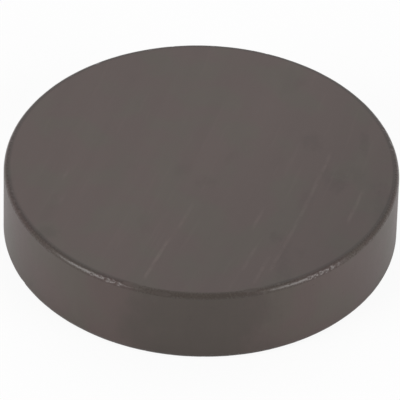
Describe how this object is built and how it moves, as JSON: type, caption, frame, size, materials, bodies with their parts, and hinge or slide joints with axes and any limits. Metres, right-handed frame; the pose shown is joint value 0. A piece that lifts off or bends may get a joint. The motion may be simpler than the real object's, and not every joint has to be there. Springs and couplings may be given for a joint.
{
  "type": "disc magnet",
  "caption": "Plain round disc of dark grey sintered ferrite with flat ground pole faces and small rounded rims, used as a holding or sensing magnet.",
  "frame": {"origin": "middle of the lower pole face, on which the disc lies flat", "axes": "+Z is the disc's own axis and its direction of magnetisation, from the lower pole face to the upper one; X and Y lie in the pole faces, and any turn about Z looks the same"},
  "size_m": [0.024, 0.024, 0.005],
  "materials": {
    "sintered_ferrite": "satin"
  },
  "bodies": {
    "root": {"ferrite_disc": "sintered_ferrite"}
  },
  "joints": []
}
